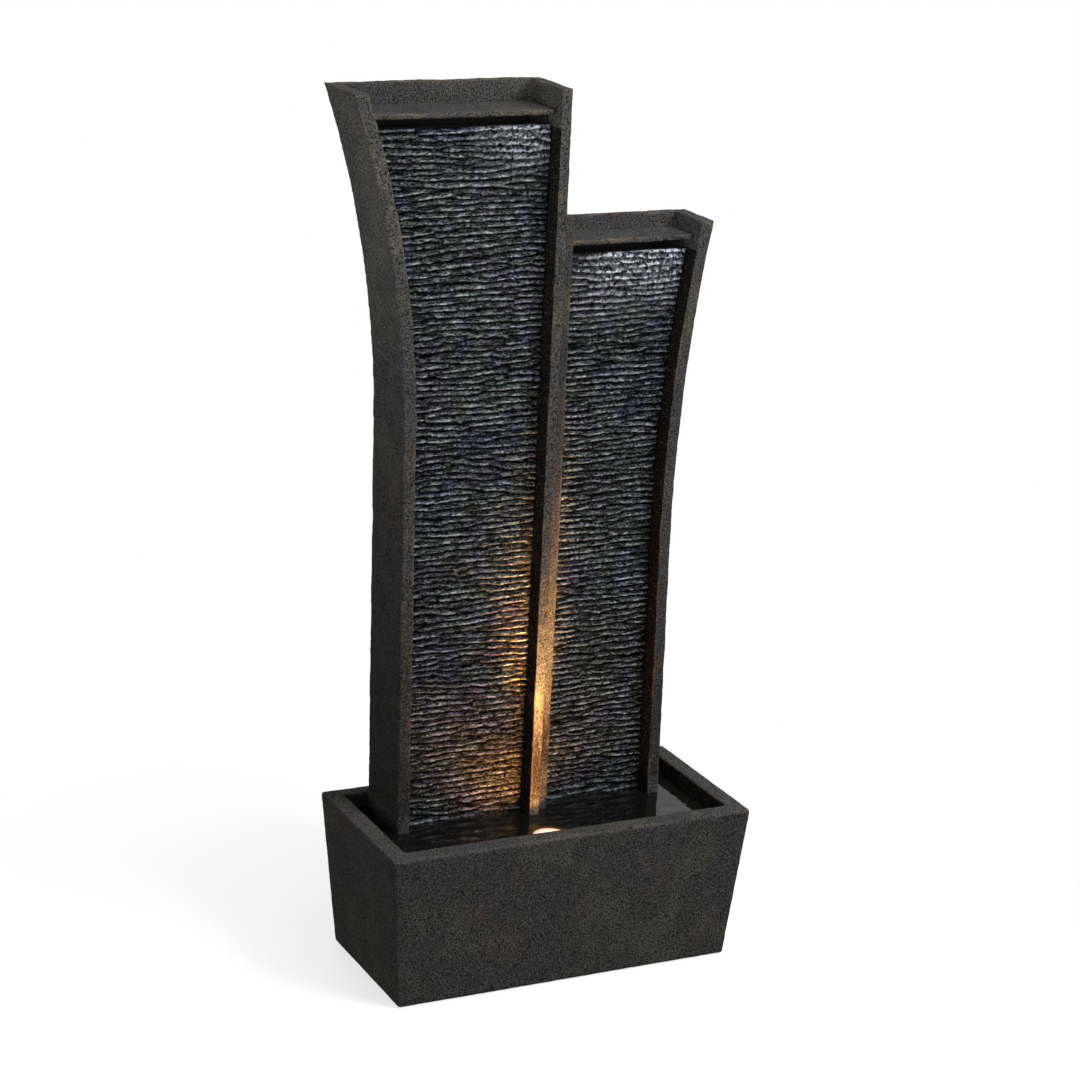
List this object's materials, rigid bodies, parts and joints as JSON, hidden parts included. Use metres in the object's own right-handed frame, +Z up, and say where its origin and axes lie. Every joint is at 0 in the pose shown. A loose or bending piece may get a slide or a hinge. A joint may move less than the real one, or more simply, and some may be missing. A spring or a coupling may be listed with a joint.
{
  "type": "tower fountain",
  "caption": "Free-standing water fountain: flared channel towers with rippled water walls stand in a tapered basin, with a submerged pump and a tilting lamp.",
  "frame": {"origin": "middle of the basin's flat underside", "axes": "+X right, +Y towards the back, +Z up"},
  "size_m": [0.4792, 0.2214, 1.02],
  "materials": {
    "cast_stone": "matte sandy cast stone, mottled dark grey-brown",
    "water_wall": "dark rippled stone, wet and glossy",
    "trough_plastic": "black moulded plastic",
    "clear_hose": "clear flexible tube",
    "fitting_plastic": "black moulded plastic",
    "steel": "stainless steel",
    "pump_plastic": "black moulded plastic",
    "dial_plastic": "grey moulded plastic",
    "impeller_plastic": "white moulded plastic",
    "shaft_ceramic": "polished ceramic",
    "rubber": "black rubber",
    "lamp_plastic": "black moulded plastic",
    "lamp_glass": "frosted glass, lit warm white"
  },
  "bodies": {
    "fountain": {"basin": "cast_stone", "left_tower": "cast_stone", "right_tower": "cast_stone", "left_header_shelf": "cast_stone", "right_header_shelf": "cast_stone", "rear_hatch": "cast_stone", "left_ripple_panel": "water_wall", "right_ripple_panel": "water_wall", "left_spill_trough": "trough_plastic", "right_spill_trough": "trough_plastic", "pump_hose": "clear_hose", "left_riser_hose": "clear_hose", "crossover_hose": "clear_hose", "right_riser_hose": "clear_hose", "tee_fitting": "fitting_plastic", "elbow_fitting": "fitting_plastic", "hatch_screws": "steel", "pump_motor_housing": "pump_plastic", "pump_volute": "pump_plastic", "pump_intake_cover": "pump_plastic", "pump_shaft": "shaft_ceramic", "pump_suction_feet": "rubber", "cord_grommet": "rubber", "led_stand": "lamp_plastic"},
    "impeller": {"pump_impeller": "impeller_plastic"},
    "flow_dial": {"pump_flow_dial": "dial_plastic"},
    "lamp": {"led_housing": "lamp_plastic", "led_lens": "lamp_glass", "led_bezel": "lamp_plastic", "led_pivot_screws": "steel"}
  },
  "joints": [
    {"name": "impeller_spin", "type": "hinge", "parent": "fountain", "child": "impeller", "pos_m": [-0.0725, 0.058, 0.045], "axis": [1, 0, 0], "continuous": true},
    {"name": "flow_dial_turn", "type": "hinge", "parent": "fountain", "child": "flow_dial", "pos_m": [-0.0435, 0.058, 0.045], "axis": [1, 0, 0], "range_deg": [0, 120]},
    {"name": "lamp_tilt", "type": "hinge", "parent": "fountain", "child": "lamp", "pos_m": [0, -0.041, 0.1365], "axis": [1, 0, 0], "range_deg": [-35, 35]}
  ]
}
